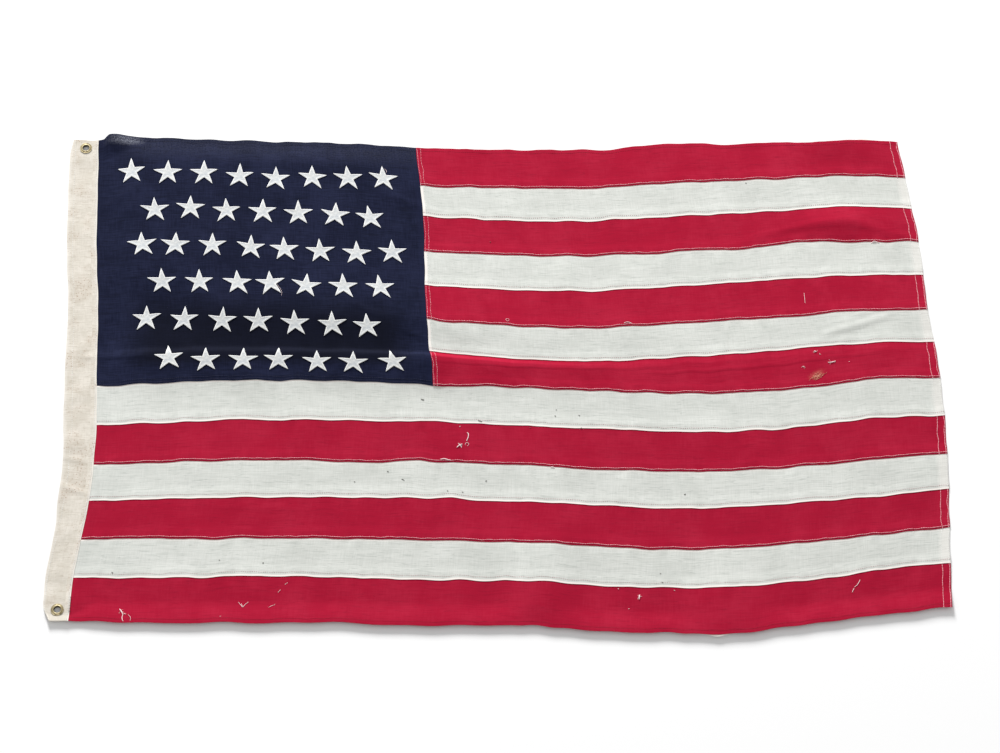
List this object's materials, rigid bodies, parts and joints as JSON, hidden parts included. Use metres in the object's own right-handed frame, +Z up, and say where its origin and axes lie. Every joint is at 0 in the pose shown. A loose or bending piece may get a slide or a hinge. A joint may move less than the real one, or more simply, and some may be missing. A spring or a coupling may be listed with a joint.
{
  "type": "sewn star-and-stripe flag, worn, laid out flat",
  "caption": "Worn wool-bunting flag laid out face up: lapped stripes, blue union with raised sewn stars, canvas heading with brass grommets.",
  "frame": {"origin": "middle of the flag's outline, on the surface that it lies on", "axes": "+X out along the fly, +Y towards the flag's top edge, +Z up from the surface"},
  "size_m": [1.2438, 0.784, 0.0105],
  "materials": {
    "red_bunting": "matt plain-weave wool, worn",
    "white_bunting": "matt plain-weave wool, greyed",
    "blue_bunting": "matt plain-weave wool, faded at the edges",
    "star_cotton": "matt cotton",
    "heading_canvas": "matt canvas with brown spots",
    "sewing_thread": "dull cotton thread",
    "grommet_brass": "dull, worn"
  },
  "bodies": {
    "root": {"stripe_01_red": "red_bunting", "stripe_02_white": "white_bunting", "stripe_03_red": "red_bunting", "stripe_04_white": "white_bunting", "stripe_05_red": "red_bunting", "stripe_06_white": "white_bunting", "stripe_07_red": "red_bunting", "stripe_08_white": "white_bunting", "stripe_09_red": "red_bunting", "stripe_10_white": "white_bunting", "stripe_11_red": "red_bunting", "stripe_12_white": "white_bunting", "stripe_13_red": "red_bunting", "union": "blue_bunting", "heading": "heading_canvas", "grommet_upper": "grommet_brass", "grommet_lower": "grommet_brass"}
  },
  "joints": []
}
